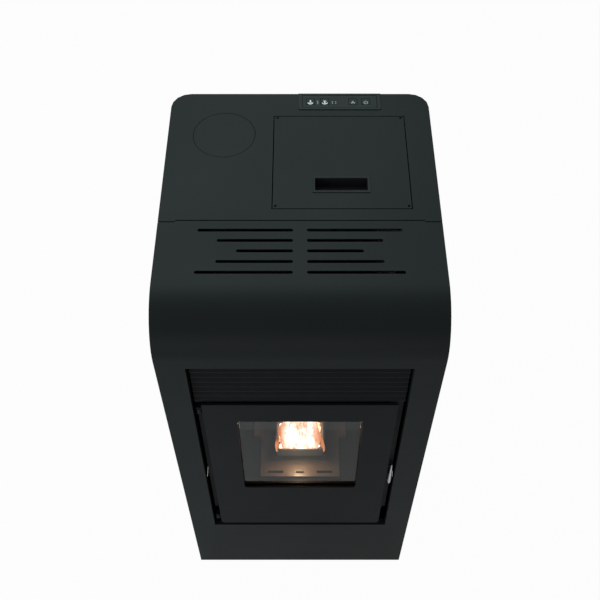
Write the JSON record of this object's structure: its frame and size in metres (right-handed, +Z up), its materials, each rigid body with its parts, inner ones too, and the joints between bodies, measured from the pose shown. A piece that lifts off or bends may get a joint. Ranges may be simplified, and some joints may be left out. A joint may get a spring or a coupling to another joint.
{
  "type": "pellet stove",
  "caption": "Free-standing room pellet stove with a curved sheet casing, glazed fire door, flush hopper lid, auger feed, fans and rear flue socket.",
  "frame": {"origin": "middle of the footprint, on the floor under the feet", "axes": "+Z up, the fire door faces -Y, +X to the right seen from the front"},
  "size_m": [0.46, 0.514, 0.97],
  "materials": {
    "casing": "matte powder coat, fine grain",
    "door_paint": "matte powder coat",
    "black_steel": "matte heat-proof paint",
    "cast_iron": "cast, matte",
    "refractory": "pressed fireproof board, rough",
    "glass": "clear ceramic glass, slightly grey",
    "chrome": "polished",
    "galvanised": "galvanised sheet, satin",
    "aluminium": "die cast, matte",
    "black_plastic": "fine texture",
    "gloss_black": "gloss",
    "rope_seal": "braided glass fibre rope",
    "rubber": "matte",
    "circuit_board": "green laminate with components"
  },
  "bodies": {
    "root": {"front_casing": "casing", "side_panel_left": "casing", "side_panel_right": "casing", "top_plate": "casing", "back_panel": "galvanised", "base_plate": "black_steel", "knockout_disc": "casing", "control_bezel": "black_plastic", "control_fascia": "gloss_black", "lid_hinge_left": "galvanised", "lid_hinge_right": "galvanised", "front_surround": "black_steel", "hinge_bracket_lower": "black_steel", "hinge_bracket_upper": "black_steel", "latch_keeper": "galvanised", "firebox": "cast_iron", "firebox_stand": "black_steel", "hearth_plate": "cast_iron", "pot_surround": "refractory", "lining_plate": "refractory", "heat_exchanger": "black_steel", "smoke_duct": "black_steel", "hopper_bin": "galvanised", "hopper_grate": "galvanised", "auger_tube": "galvanised", "auger_gearmotor": "aluminium", "pellet_chute": "black_steel", "igniter": "galvanised", "exhaust_housing": "aluminium", "exhaust_motor": "black_steel", "flue_socket": "galvanised", "air_inlet_pipe": "galvanised", "room_fan_housing": "galvanised", "control_board": "circuit_board", "power_inlet": "black_plastic"},
    "foot_fl": {"foot_front_left": "galvanised"},
    "foot_fr": {"foot_front_right": "galvanised"},
    "foot_rl": {"foot_rear_left": "galvanised"},
    "foot_rr": {"foot_rear_right": "galvanised"},
    "key_a": {"key_less": "gloss_black"},
    "key_b": {"key_more": "gloss_black"},
    "key_c": {"key_menu": "gloss_black"},
    "key_d": {"key_power": "gloss_black"},
    "lid": {"hopper_lid": "casing", "lid_grip": "black_plastic", "lid_seal": "rubber"},
    "door": {"door_panel": "door_paint", "door_frame": "cast_iron", "door_glass": "glass", "glass_retainer": "black_steel", "air_deflector": "glass", "door_seal": "rope_seal"},
    "lever": {"door_lever": "chrome", "latch_cam": "galvanised"},
    "pot": {"burn_pot": "cast_iron"},
    "drawer": {"ash_drawer": "black_steel"},
    "auger": {"auger_screw": "galvanised"},
    "exhaust_rotor": {"exhaust_impeller": "galvanised"},
    "room_rotor": {"room_fan_rotor": "galvanised"},
    "rocker": {"power_rocker": "black_plastic"}
  },
  "joints": [
    {"name": "door_swing", "type": "hinge", "parent": "root", "child": "door", "pos_m": [-0.1723, -0.25, 0.4875], "axis": [0, 0, -1], "range_deg": [0, 100]},
    {"name": "lever_turn", "type": "hinge", "parent": "door", "child": "lever", "pos_m": [0.175, -0.249, 0.494], "axis": [-1, 0, 0], "range_deg": [0, 45]},
    {"name": "lid_swing", "type": "hinge", "parent": "root", "child": "lid", "pos_m": [0.069, 0.194, 0.9643], "axis": [-1, 0, 0], "range_deg": [0, 85]},
    {"name": "pot_lift", "type": "slide", "parent": "root", "child": "pot", "axis": [0, 0, 1], "range_m": [0, 0.06]},
    {"name": "drawer_pull", "type": "slide", "parent": "root", "child": "drawer", "axis": [0, -1, 0], "range_m": [0, 0.004]},
    {"name": "auger_turn", "type": "hinge", "parent": "root", "child": "auger", "pos_m": [0, 0.118, 0.555], "axis": [0, -0.866, 0.5], "continuous": true},
    {"name": "exhaust_turn", "type": "hinge", "parent": "root", "child": "exhaust_rotor", "pos_m": [-0.058, 0.06, 0.16], "axis": [0, 1, 0], "continuous": true},
    {"name": "room_fan_turn", "type": "hinge", "parent": "root", "child": "room_rotor", "pos_m": [0.104, 0.12, 0.106], "axis": [1, 0, 0], "continuous": true},
    {"name": "rocker_tilt", "type": "hinge", "parent": "root", "child": "rocker", "pos_m": [0.104, 0.2515, 0.08], "axis": [-1, 0, 0], "range_deg": [0, 20]},
    {"name": "foot_fl_turn", "type": "hinge", "parent": "root", "child": "foot_fl", "pos_m": [-0.188, -0.215, 0.005], "axis": [0, 0, 1], "continuous": true},
    {"name": "foot_fr_turn", "type": "hinge", "parent": "root", "child": "foot_fr", "pos_m": [0.188, -0.215, 0.005], "axis": [0, 0, 1], "continuous": true},
    {"name": "foot_rl_turn", "type": "hinge", "parent": "root", "child": "foot_rl", "pos_m": [-0.188, 0.215, 0.005], "axis": [0, 0, 1], "continuous": true},
    {"name": "foot_rr_turn", "type": "hinge", "parent": "root", "child": "foot_rr", "pos_m": [0.188, 0.215, 0.005], "axis": [0, 0, 1], "continuous": true},
    {"name": "key_less_press", "type": "slide", "parent": "root", "child": "key_a", "axis": [0, 0, -1], "range_m": [0, 0.0008], "stiffness_N_per_m": 300, "springref_m": -0.001},
    {"name": "key_more_press", "type": "slide", "parent": "root", "child": "key_b", "axis": [0, 0, -1], "range_m": [0, 0.0008], "stiffness_N_per_m": 300, "springref_m": -0.001},
    {"name": "key_menu_press", "type": "slide", "parent": "root", "child": "key_c", "axis": [0, 0, -1], "range_m": [0, 0.0008], "stiffness_N_per_m": 300, "springref_m": -0.001},
    {"name": "key_power_press", "type": "slide", "parent": "root", "child": "key_d", "axis": [0, 0, -1], "range_m": [0, 0.0008], "stiffness_N_per_m": 300, "springref_m": -0.001}
  ]
}
